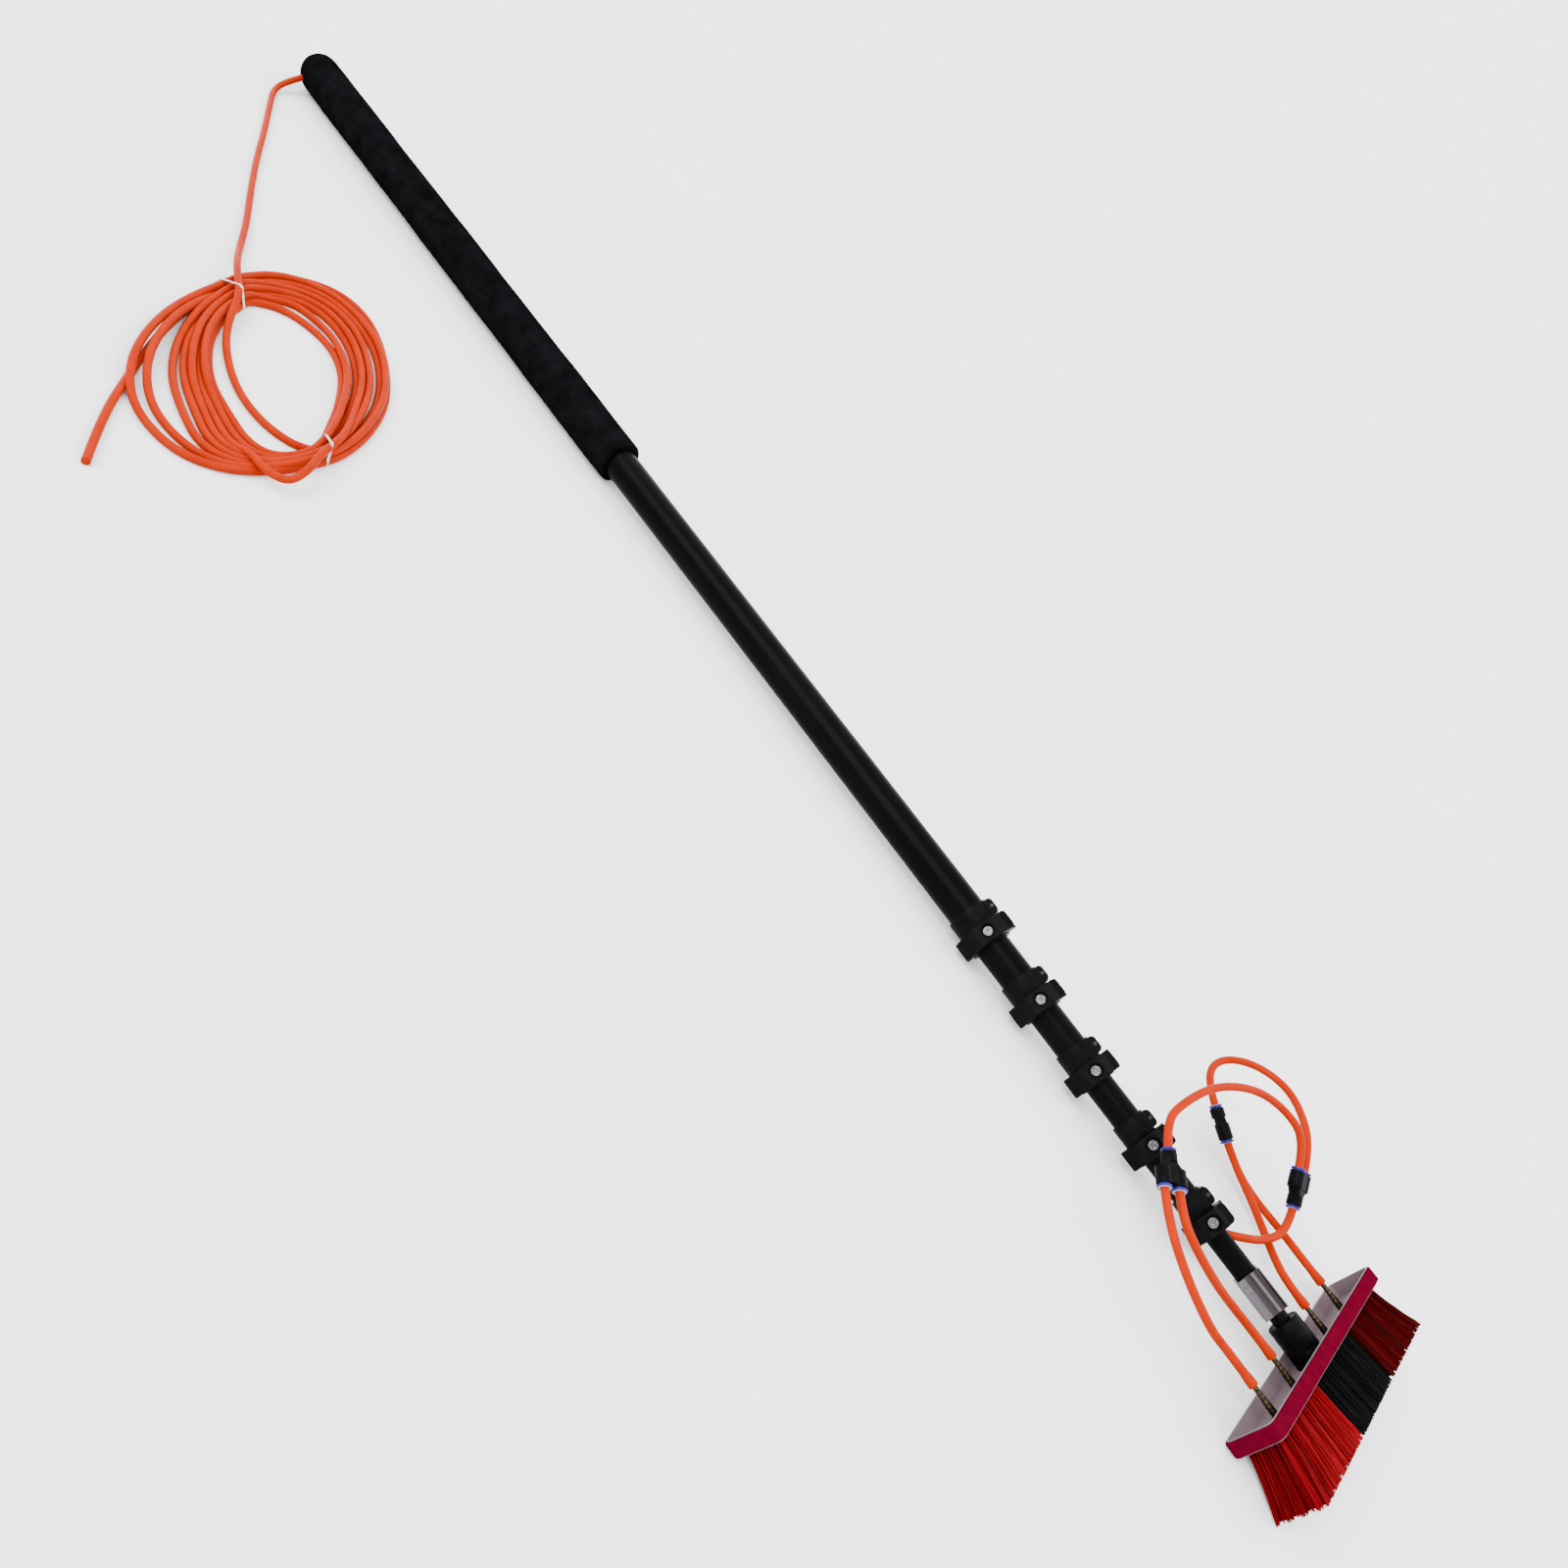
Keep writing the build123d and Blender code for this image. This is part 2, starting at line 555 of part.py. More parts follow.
def between(name, start, middle, end, lead_a, lead_b):
    (pa, da), (pb, db) = start, end
    pts = [tup(pa), tup(pa + da * lead_a)] + middle + [tup(pb + db * lead_b), tup(pb)]
    return hose(name, pts)


mid_near_way = [(1818, 128, 98), (1783, 98, 104), (1757, 49, 100), (1750, 0, 92)]
mid_near = between("mid near", port_end(Y_FEED, -1), mid_near_way, port_end(Y_NEAR, 0), 34, 34)
mid_far_way = [(1828, 181, 83), (1803, 200, 76), (1773, 203, 64), (1751, 187, 52), (1746, 163, 43)]
mid_far = between("mid far", port_end(Y_FEED, 1), mid_far_way, port_end(Y_FAR, 0), 34, 22)
save("mid_hoses", [mid_near, mid_far])


def to_barb(name, port, middle, barb_y, lead_a, lead_b):
    pa, da = port
    pts = [tup(pa), tup(pa + da * lead_a)] + middle
    pts += [(BARB_TOP - lead_b, barb_y, AXIS_Z), (BARB_TOP, barb_y, AXIS_Z)]
    return hose(name, pts)


near_1_way = [(1850, -120, 62), (1900, -113, 42)]
near_2_way = [(1848, -98, 69), (1882, -84, 54), (1908, -60, 37)]
far_1_way = [(1866, 110, 14), (1894, 86, 17), (1914, 62, 23)]
far_2_way = [(1868, 122, 9.5), (1905, 112, 17)]
branches = [
    to_barb("near 1", port_end(Y_NEAR, -1), near_1_way, BARB_Y[0], 30, 34),
    to_barb("near 2", port_end(Y_NEAR, 1), near_2_way, BARB_Y[1], 28, 27),
    to_barb("far 1", port_end(Y_FAR, -1), far_1_way, BARB_Y[2], 28, 25),
    to_barb("far 2", port_end(Y_FAR, 1), far_2_way, BARB_Y[3], 30, 28),
]
save("branch_hoses", branches)

# ---- supply hose, coil and tail
exit_seat = exit_start + exit_dir * HOSE_EXIT_SEAT
supply = [
    (exit_seat.X + MID_S, exit_seat.Y, exit_seat.Z),
    (4.4, -45.0, 11.7),
    (27.0, -76.0, 5.0),
    (75.0, -103.0, HOSE_R),
    (150.0, -144.0, HOSE_R),
    (226.0, -188.0, HOSE_R),
    (304.0, -230.0, HOSE_R),
    (382.0, -269.5, HOSE_R),
    (460.0, -313.0, HOSE_R),
    (524.0, -350.0, HOSE_R),
]
save("supply_hose", hose("supply", supply))
tail = [(692, -519, 6), (750, -562, HOSE_R), (812, -598, HOSE_R)]
save("hose_tail", hose("tail", tail))


def outline(points):
    return make_face(Spline(*[at(x, y, 0) for x, y in points], periodic=True))


coil = extrude(outline(COIL_OUTER), COIL_H) - extrude(outline(COIL_INNER), COIL_H)
coil = fillet(coil.edges().filter_by_position(Axis.Z, COIL_H - 0.1, COIL_H + 0.1), COIL_EDGE)
save("hose_coil", coil)
ties = []
for tie_start, tie_end in TIE_ENDS:
    a = at(*tie_start, 0)
    b = at(*tie_end, 0)
    d = (b - a).normalized()
    tie_frame = Plane(origin=a - d * TIE_OVER, x_dir=d, z_dir=Vector(0, 0, 1).cross(d) * -1)
    width = (b - a).length + 2 * TIE_OVER
    strap = extrude(RectangleRounded(width, COIL_H, TIE_CORNER), TIE_W)
    strap = Pos(width / 2, COIL_H / 2 + TIE_RISE, -TIE_W / 2) * strap
    ties.append(tie_frame * strap - coil)
save("coil_ties", ties)
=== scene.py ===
import json
import math
import bpy
import numpy as np
from mathutils import Matrix, Vector


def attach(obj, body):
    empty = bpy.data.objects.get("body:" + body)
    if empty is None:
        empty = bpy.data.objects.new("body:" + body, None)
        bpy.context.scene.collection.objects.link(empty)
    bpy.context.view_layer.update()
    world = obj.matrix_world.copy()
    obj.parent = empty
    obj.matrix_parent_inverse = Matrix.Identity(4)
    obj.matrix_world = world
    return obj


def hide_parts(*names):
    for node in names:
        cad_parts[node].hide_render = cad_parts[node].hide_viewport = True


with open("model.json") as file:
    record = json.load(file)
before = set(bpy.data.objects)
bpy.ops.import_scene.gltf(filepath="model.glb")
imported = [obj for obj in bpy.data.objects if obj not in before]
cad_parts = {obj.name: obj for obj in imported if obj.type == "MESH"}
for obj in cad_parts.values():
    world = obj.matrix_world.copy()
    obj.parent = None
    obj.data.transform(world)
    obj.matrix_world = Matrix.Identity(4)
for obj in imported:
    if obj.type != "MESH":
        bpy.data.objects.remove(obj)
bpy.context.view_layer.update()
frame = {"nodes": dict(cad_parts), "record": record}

# All lengths are metres in the row frame: +X along the pole to the bristles,
# +Y towards the brush's far end, z = 0 the floor. "s" in mm runs along the pole
# from the centre of the grip's domed end.
MM = 0.001
MID_S = 1006.5
AXIS_Z = 28.0           # height in mm of the pole's centre line
GRIP_R = 0.028
GRIP_LENGTH = 806.0
HOSE_D = 0.008
FLOOR_Z = 4.0           # height in mm of the hose's centre where it lies on the floor
SEED = 53
random = np.random.default_rng(SEED)


def at(s, y, z):
    return Vector(((s - MID_S) * MM, y * MM, z * MM))


# ------------------------------------------------------------------ materials
def node(tree, kind, **values):
    n = tree.nodes.new(kind)
    for key, value in values.items():
        if hasattr(n, key):
            setattr(n, key, value)
        else:
            n.inputs[key.replace("_", " ")].default_value = value
    return n


def material(name, dark, light, rough, grain, bump, stretch=(1, 1, 1), metallic=0.0,
             patch=60.0, fine="noise", spec=0.5, strand=False):
    """A surface with slow colour patches, uneven gloss and a fine relief. grain and patch are per metre."""
    m = bpy.data.materials.new(name)
    m.use_nodes = True
    t = m.node_tree
    shader = t.nodes["Principled BSDF"]
    link = t.links.new
    place = node(t, "ShaderNodeTexCoord")
    turn = node(t, "ShaderNodeMapping")
    turn.inputs["Scale"].default_value = stretch
    link(place.outputs["Object"], turn.inputs["Vector"])
    slow = node(t, "ShaderNodeTexNoise", Scale=patch, Detail=4.0, Roughness=0.6)
    link(turn.outputs["Vector"], slow.inputs["Vector"])
    ramp = node(t, "ShaderNodeValToRGB")
    ramp.color_ramp.elements[0].position = 0.32
    ramp.color_ramp.elements[1].position = 0.7
    ramp.color_ramp.elements[0].color = (*dark, 1)
    ramp.color_ramp.elements[1].color = (*light, 1)
    if strand:
        tone = node(t, "ShaderNodeAttribute", attribute_name="tone")
        link(tone.outputs["Fac"], ramp.inputs["Fac"])
        ramp.color_ramp.elements[0].position = 0.0
        ramp.color_ramp.elements[1].position = 1.0
    else:
        link(slow.outputs["Fac"], ramp.inputs["Fac"])
    link(ramp.outputs["Color"], shader.inputs["Base Color"])
    spread = node(t, "ShaderNodeMapRange")
    spread.inputs["To Min"].default_value = max(0.03, rough - 0.07)
    spread.inputs["To Max"].default_value = min(1.0, rough + 0.09)
    link(slow.outputs["Fac"], spread.inputs["Value"])
    link(spread.outputs["Result"], shader.inputs["Roughness"])
    if fine == "cells":
        relief = node(t, "ShaderNodeTexVoronoi", Scale=grain)
        height = relief.outputs["Distance"]
    else:
        relief = node(t, "ShaderNodeTexNoise", Scale=grain, Detail=3.0, Roughness=0.55)
        height = relief.outputs["Fac"]
    link(turn.outputs["Vector"], relief.inputs["Vector"])
    emboss = node(t, "ShaderNodeBump", Strength=0.6, Distance=bump)
    link(height, emboss.inputs["Height"])
    link(emboss.outputs["Normal"], shader.inputs["Normal"])
    shader.inputs["Metallic"].default_value = metallic
    shader.inputs["Specular IOR Level"].default_value = spec
    return m


FOAM = material("foam", (0.0012, 0.0013, 0.0015), (0.0032, 0.0034, 0.0039), 0.9, 900, 0.0005,
                fine="cells", patch=40, spec=0.0)
TUBE = material("anodised tube", (0.0007, 0.0007, 0.0009), (0.0018, 0.0019, 0.0023), 0.3, 900, 0.00004,
                stretch=(0.08, 1, 1), patch=35, spec=0.015)
CLAMP = material("moulded nylon", (0.0008, 0.0008, 0.001), (0.002, 0.0021, 0.0025), 0.38, 1500, 0.00009,
                 patch=120, spec=0.02)
GUIDE = material("guide plastic", (0.16, 0.15, 0.14), (0.2, 0.19, 0.18), 0.5, 900, 0.00005)
DARK_STEEL = material("dark steel", (0.01, 0.01, 0.011), (0.02, 0.02, 0.022), 0.34, 1800, 0.00004,
                      metallic=1.0)
# Fine patches from near black to pale in the base colour: painted glints and painted dark reflections on
# the steel screws.
GLINT_STEEL = material("steel painted glints", (0.0004, 0.0004, 0.0004), (0.15, 0.15, 0.155), 0.2, 800, 0.0004,
                 metallic=1.0, patch=900)
BRACKET = material("drawn aluminium", (0.014, 0.0105, 0.012), (0.034, 0.028, 0.031), 0.26, 1400, 0.00006,
                   stretch=(0.03, 1, 1), metallic=1.0, patch=160)
# A lighter copy of the bracket's aluminium: painted highlight, laid as thin strips on the bracket's front.
FLAP_HIGHLIGHT = material("aluminium painted highlight", (0.05, 0.044, 0.05), (0.085, 0.076, 0.085), 0.36, 1400, 0.00006,
                stretch=(0.05, 1, 1), metallic=1.0, patch=160)
PLATE = material("grey plastic", (0.09, 0.066, 0.074), (0.112, 0.084, 0.093), 0.42, 1200, 0.00005, patch=30,
                 spec=0.06)
BUMPER = material("crimson rubber", (0.047, 0.0008, 0.0056), (0.061, 0.0012, 0.0075), 0.5, 1500, 0.00008,
                  patch=90, spec=0.0)
BRASS = material("bronzed brass", (0.005, 0.0035, 0.002), (0.05, 0.034, 0.018), 0.3, 1200, 0.00012,
                 metallic=1.0, patch=420)
RING = material("ring plastic", (0.007, 0.005, 0.085), (0.016, 0.011, 0.13), 0.3, 1200, 0.00004,
                patch=300, spec=0.15)
# A paler violet for the rings' rims: painted highlight along the flange's edge.
RING_RIM_HIGHLIGHT = material("ring rim painted highlight", (0.26, 0.25, 0.38), (0.34, 0.33, 0.42), 0.3, 1200, 0.00004, spec=0.2)
HOSE = material("polyurethane hose", (0.225, 0.0095, 0.0), (0.265, 0.013, 0.0), 0.26, 700, 0.00006,
                patch=45, spec=0.012)
TIE = material("nylon tie", (0.4, 0.4, 0.39), (0.48, 0.48, 0.47), 0.42, 1500, 0.00005)
RED = material("red bristle", (0.022, 0.0001, 0.0007), (0.145, 0.0008, 0.0032), 0.4, 500, 0.00003,
               strand=True, spec=0.02)
# The same red bristle, darkened for the far tufts: painted shade.
SHADED_RED = material("red bristle painted shade", (0.005, 0.00003, 0.00006), (0.036, 0.0003, 0.0005), 0.42, 500,
                    0.00003, strand=True, spec=0.01)
BLACK = material("black bristle", (0.0003, 0.0003, 0.0004), (0.0013, 0.0014, 0.0017), 0.5, 500, 0.00003,
                 strand=True, spec=0.02)
FLOOR = material("floor", (0.69, 0.69, 0.69), (0.71, 0.71, 0.71), 0.8, 300, 0.00002, patch=2, spec=0.0)

hose_shader = HOSE.node_tree.nodes["Principled BSDF"]
hose_shader.inputs["Subsurface Weight"].default_value = 0.02
hose_shader.inputs["Subsurface Radius"].default_value = (0.004, 0.0008, 0.0003)

SLOT_MATERIALS = {
    "anodised_tube": TUBE, "guide_plastic": GUIDE, "clamp_plastic": CLAMP, "dark_steel": DARK_STEEL,
    "bright_steel": GLINT_STEEL, "foam": FOAM, "bracket_metal": BRACKET, "plate_plastic": PLATE,
    "bumper_rubber": BUMPER, "barb_brass": BRASS, "bristle_red": RED, "bristle_black": BLACK,
    "release_ring": RING, "hose_orange": HOSE, "tie_white": TIE,
}
for row in frame["record"]["subparts"]:
    cad = frame["nodes"][row["node"]]
    cad.data.materials.clear()
    cad.data.materials.append(SLOT_MATERIALS[row["material_slot"]])


# ------------------------------------------------------------------ mesh tools
def piece(name, verts, faces, look, smooth=True, sharp_deg=35):
    mesh = bpy.data.meshes.new(name)
    mesh.from_pydata([tuple(v) for v in verts], [], faces)
    mesh.materials.append(look)
    mesh.update()
    if smooth:
        mesh.polygons.foreach_set("use_smooth", [True] * len(mesh.polygons))
        mesh.set_sharp_from_angle(angle=math.radians(sharp_deg))
    o = bpy.data.objects.new(name, mesh)
    bpy.context.scene.collection.objects.link(o)
    return o


def axes_for(direction):
    """Two unit vectors square to a direction."""
    d = Vector(direction).normalized()
    side = d.cross(Vector((0, 0, 1)))
    if side.length < 1e-3:
        side = Vector((0, 1, 0))
    side.normalize()
    return d, side, d.cross(side).normalized()


def turned_ring(name, start, direction, profile, look, steps=48):
    """A turned body with a hole: profile is a closed loop of (distance along, radius) in mm."""
    d, a, b = axes_for(direction)
    verts = []
    faces = []
    n = len(profile)
    for k in range(steps):
        turn = 2 * math.pi * k / steps
        out = a * math.cos(turn) + b * math.sin(turn)
        for along, radius in profile:
            verts.append(start + d * along * MM + out * radius * MM)
    for k in range(steps):
        j = (k + 1) % steps
        for i in range(n):
            p = (i + 1) % n
            faces.append((k * n + i, k * n + p, j * n + p, j * n + i))
    return piece(name, verts, faces, look)


def bevelled(o, width, segments=2, angle=30):
    b = o.modifiers.new("edges", "BEVEL")
    b.width = width
    b.segments = segments
    b.limit_method = "ANGLE"
    b.angle_limit = math.radians(angle)
    b.harden_normals = False
    return o


def soft_edges(cad, width):
    """Rounds a moulded part's sharp edges, over its own CAD mesh."""
    weld = cad.modifiers.new("weld", "WELD")
    weld.merge_threshold = 0.00001
    return bevelled(cad, width, segments=2, angle=40)


for n in range(1, 6):
    soft_edges(frame["nodes"][f"lever_{n}"], 0.0006)
    soft_edges(frame["nodes"][f"collar_{n}"], 0.0004)
    soft_edges(frame["nodes"][f"tension_screw_{n}"], 0.0005)
for name in ("bracket", "bracket_screw", "socket", "brush_block", "y_connectors"):
    soft_edges(frame["nodes"][name], 0.0004)


# ------------------------------------------------------------------ bracket's painted highlight strips
LUG = Vector((0, 0.6057, 0.7957))
FRONT = Vector((0, -0.7957, 0.6057))


def face_strip(name, s0, s1, u0, u1, v0, v1, look):
    """A thin plate in the bracket's own directions: u across its front, v out of it."""
    axis_at = [at(s, 0, AXIS_Z) for s in (s0, s1)]
    corners = [(LUG * u + FRONT * v) * MM for u, v in ((u0, v0), (u1, v0), (u1, v1), (u0, v1))]
    verts = [p + corner for p in axis_at for corner in corners]
    faces = [(3, 2, 1, 0), (4, 5, 6, 7)] + [(k, (k + 1) % 4, 4 + (k + 1) % 4, 4 + k) for k in range(4)]
    o = piece(name, verts, faces, look, smooth=False)
    return bevelled(o, 0.00025)


# Thin plates of the lighter aluminium on the flap, the channel rib and the lip: painted highlights on the
# bracket.
for name, u0, u1, v0, v1 in (("bracket_flap_highlight", -12.0, -4.15, 13.1, 13.4),
                             ("bracket_channel_highlight", 2.6, 5.4, 12.1, 12.5),
                             ("bracket_lip_highlight", 11.05, 12.2, 14.6, 14.85)):
    strip = face_strip(name, 1900.2, 1938.8, u0, u1, v0, v1, FLAP_HIGHLIGHT)
    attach(strip, "section_6")


# ------------------------------------------------------------------ hoses
def hose_curve(name, points, look=HOSE, radius=HOSE_D / 2):
    """One open NURBS spline with the route's points as its control points."""
    data = bpy.data.curves.new(name, "CURVE")
    data.dimensions = "3D"
    spline = data.splines.new("NURBS")
    spline.points.add(len(points) - 1)
    for target, p in zip(spline.points, points):
        target.co = (p[0], p[1], p[2], 1)
    spline.order_u = 3
    spline.use_endpoint_u = True
    spline.resolution_u = 10
    data.bevel_depth = radius
    data.bevel_resolution = 6
    data.use_fill_caps = True
    data.materials.append(look)
    o = bpy.data.objects.new(name, data)
    bpy.context.scene.collection.objects.link(o)
    return o


def centre_of(curve):
    """Points along a curve's own line."""
    bare = bpy.data.objects.new("bare", curve.data.copy())
    bare.data.bevel_depth = 0
    mesh = bpy.data.meshes.new_from_object(bare)
    line = [v.co.copy() for v in mesh.vertices]
    bpy.data.meshes.remove(mesh)
    bpy.data.curves.remove(bare.data)
    return line


# Y connectors: single port position, direction to the double ports, direction
# from one double port to the other
Y_LENGTH = 38.0
Y_SPACING = 14.5
HOSE_SEAT = 6.0
Y_FEED = ((1890.5, 97.0, 52.0), (-0.56, 0.62, 0.55), (0.53, 0.78, -0.34))
Y_NEAR = ((1771.3, -58.3, 83.0), (0.694, -0.71, -0.122), (0.718, 0.668, 0.198))
Y_FAR = ((1778.3, 139.3, 32.0), (0.926, -0.251, -0.281), (0.067, 0.844, -0.532))
BARB_Y = (-93.0, -46.0, 46.0, 93.0)
BARB_TOP = 1958.0


def y_axes(y):
    base, a, b = y
    a = Vector(a).normalized()
    b = Vector(b).normalized()
    b = (b - a * a.dot(b)).normalized()
    return at(*base), a, b


def port(y, side):
    """Seat of a hose in one port and the way out: 0 single, -1 and 1 the double ports."""
    base, a, b = y_axes(y)
    if side == 0:
        return base + a * HOSE_SEAT * MM, -a
    return base + a * (Y_LENGTH - HOSE_SEAT) * MM + b * side * Y_SPACING / 2 * MM, a


feed_seat, feed_out = port(Y_FEED, 0)
feed = [at(1819, 0, AXIS_Z), at(1855, 0, AXIS_Z), at(1877, 23, 34), at(1894, 51, 33)]
feed += [feed_seat + feed_out * 0.028, feed_seat]


def joined(start, middle, end, lead_a, lead_b):
    (pa, da), (pb, db) = start, end
    return [pa, pa + da * lead_a * MM] + [at(*p) for p in middle] + [pb + db * lead_b * MM, pb]


def to_barb(start, middle, y, lead_a, lead_b):
    pa, da = start
    way = [pa, pa + da * lead_a * MM] + [at(*p) for p in middle]
    return way + [at(BARB_TOP - lead_b, y, AXIS_Z), at(BARB_TOP, y, AXIS_Z)]


mid_near = joined(port(Y_FEED, -1), [(1818, 128, 98), (1783, 98, 104), (1757, 49, 100), (1750, 0, 92)],
                  port(Y_NEAR, 0), 34, 34)
mid_far_way = [(1828, 181, 83), (1803, 200, 76), (1773, 203, 64), (1751, 187, 52), (1746, 163, 43)]
mid_far = joined(port(Y_FEED, 1), mid_far_way, port(Y_FAR, 0), 34, 22)
near_1 = to_barb(port(Y_NEAR, -1), [(1850, -120, 62), (1900, -113, 42)], BARB_Y[0], 30, 34)
near_2 = to_barb(port(Y_NEAR, 1), [(1848, -98, 69), (1882, -84, 54), (1908, -60, 37)], BARB_Y[1], 28, 27)
far_1 = to_barb(port(Y_FAR, -1), [(1866, 110, 14), (1894, 86, 17), (1914, 62, 23)], BARB_Y[2], 28, 25)
far_2 = to_barb(port(Y_FAR, 1), [(1868, 122, 9.5), (1905, 112, 17)], BARB_Y[3], 30, 28)

supply = [at(*p) for p in (
    (4.4, -45.0, 11.7), (27.0, -76.0, 5.0), (75.0, -103.0, FLOOR_Z), (150.0, -144.0, FLOOR_Z),
    (226.0, -188.0, FLOOR_Z), (304.0, -230.0, FLOOR_Z), (382.0, -269.5, FLOOR_Z), (445.0, -306.0, 6.0),
    (480.0, -326.0, 14.0), (515.0, -343.0, 20.0), (553.0, -356.0, 20.0), (592.0, -383.0, 11.0))]
exit_way = Vector((0.25, -0.91, -0.33)).normalized()
exit_start = at(-8, 0, AXIS_Z) + exit_way * 0.008

# The coil, by station: each is a line across the turns, (s, y) at its inner and
# outer edge, from the first tie round by the near side to the second tie and back.
STATIONS = [
    ((555, -350), (524, -362)), ((583, -378), (568, -418)), ((630, -401), (612, -466)),
    ((690, -417), (672, -511)), ((737, -415), (730, -531)), ((768, -401), (790, -520)),
    ((780, -385), (817, -482)), ((782, -373), (815, -425)), ((768, -360), (800, -372)),
    ((752, -347), (782, -338)), ((712, -316), (745, -292)), ((655, -282), (690, -245)),
    ((603, -272), (610, -208)), ((563, -287), (540, -193)), ((546, -305), (493, -212)),
    ((543, -325), (481, -272)), ((547, -339), (500, -330)),
]
# Share of the way from the inner to the outer edge, one row per station, one
# number per turn.
SHARES = [
    (0.00, 0.08, 0.20, 0.32, 0.44, 0.56, 0.68, 0.80, 0.93),
    (0.00, 0.14, 0.24, 0.34, 0.44, 0.54, 0.64, 0.82, 1.02),
    (0.00, 0.24, 0.30, 0.36, 0.44, 0.52, 0.64, 0.86, 1.00),
    (0.00, 0.25, 0.31, 0.37, 0.44, 0.51, 0.62, 0.86, 1.00),
    (0.00, 0.235, 0.305, 0.375, 0.445, 0.515, 0.62, 0.86, 1.00),
    (0.00, 0.34, 0.42, 0.50, 0.58, 0.66, 0.75, 0.87, 1.00),
    (0.00, 0.40, 0.50, 0.55, 0.60, 0.69, 0.79, 0.90, 1.00),
    (0.00, 0.28, 0.40, 0.47, 0.54, 0.65, 0.76, 0.88, 1.00),
    (0.00, 0.12, 0.24, 0.80, 0.48, 0.60, 0.72, 0.84, 0.97),
    (0.00, 0.13, 0.26, 0.62, 0.50, 0.62, 0.75, 0.87, 1.00),
    (0.00, 0.10, 0.30, 0.40, 0.50, 0.60, 0.79, 0.90, 1.00),
    (0.00, 0.09, 0.32, 0.41, 0.50, 0.59, 0.83, 0.92, 1.00),
    (0.00, 0.07, 0.36, 0.44, 0.52, 0.60, 0.86, 0.93, 1.00),
    (0.00, 0.20, 0.40, 0.47, 0.54, 0.61, 0.76, 0.83, 1.00),
    (0.00, 0.24, 0.36, 0.43, 0.50, 0.57, 0.76, 0.83, 1.00),
    (0.02, 0.18, 0.30, 0.38, 0.46, 0.54, 0.80, 0.92, 1.00),
    (0.10, 0.22, 0.34, 0.45, 0.56, 0.67, 0.78, 0.89, 1.00),
]
TURNS = 9
FAN = 4            # the station where every strand lies on the floor, side by side
LOOP_TURN = 3      # the turn that makes a small loop over the others
LOOP = [(795, -449, 9), (826, -451, 15), (841, -434, 13), (828, -409, 16), (806, -386, 19)]
RIDE_UP = {8: 19.0, 9: 17.0}
TAIL_UNDER = {1: 12.0, 2: 12.0, 3: 12.0}


def place(station, turn):
    inner, outer = STATIONS[station]
    share = SHARES[station][turn]
    return Vector(((1 - share) * inner[0] + share * outer[0], (1 - share) * inner[1] + share * outer[1]))


def height(station, turn):
    """Every second strand rests in the groove between its two neighbours, where they lie close."""
    strand = turn if station >= FAN else turn - 1
    if turn >= TURNS - 2 and station in TAIL_UNDER:
        return TAIL_UNDER[station]
    if strand % 2 == 0 or station == FAN:
        return FLOOR_Z
    beside = [t for t in (turn - 1, turn + 1) if 0 <= t < TURNS]
    gap = min((place(station, turn) - place(station, t)).length for t in beside)
    return FLOOR_Z + math.sqrt(max(0.0, (2 * FLOOR_Z) ** 2 - gap ** 2))


coil = []
for turn in range(TURNS):
    for station in range(2 if turn == 0 else 0, len(STATIONS)):
        spot = place(station, turn)
        if turn == LOOP_TURN and station in (6, 7):
            coil += LOOP if station == 6 else []
        elif turn == LOOP_TURN and station in RIDE_UP:
            coil.append((spot.x, spot.y, RIDE_UP[station]))
        else:
            coil.append((spot.x, spot.y, height(station, turn)))
tail = [(522, -364), (556, -401), (592, -437), (640, -479), (692, -519), (750, -562), (812, -598)]
tail = [(s, y, FLOOR_Z) for s, y in tail]
route = [exit_start] + supply + [at(*p) for p in coil + tail]

supply_hose = hose_curve("supply_hose_line", route)
supply_line = centre_of(supply_hose)
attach(supply_hose, "handle")
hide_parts("supply_hose", "hose_coil", "hose_tail")


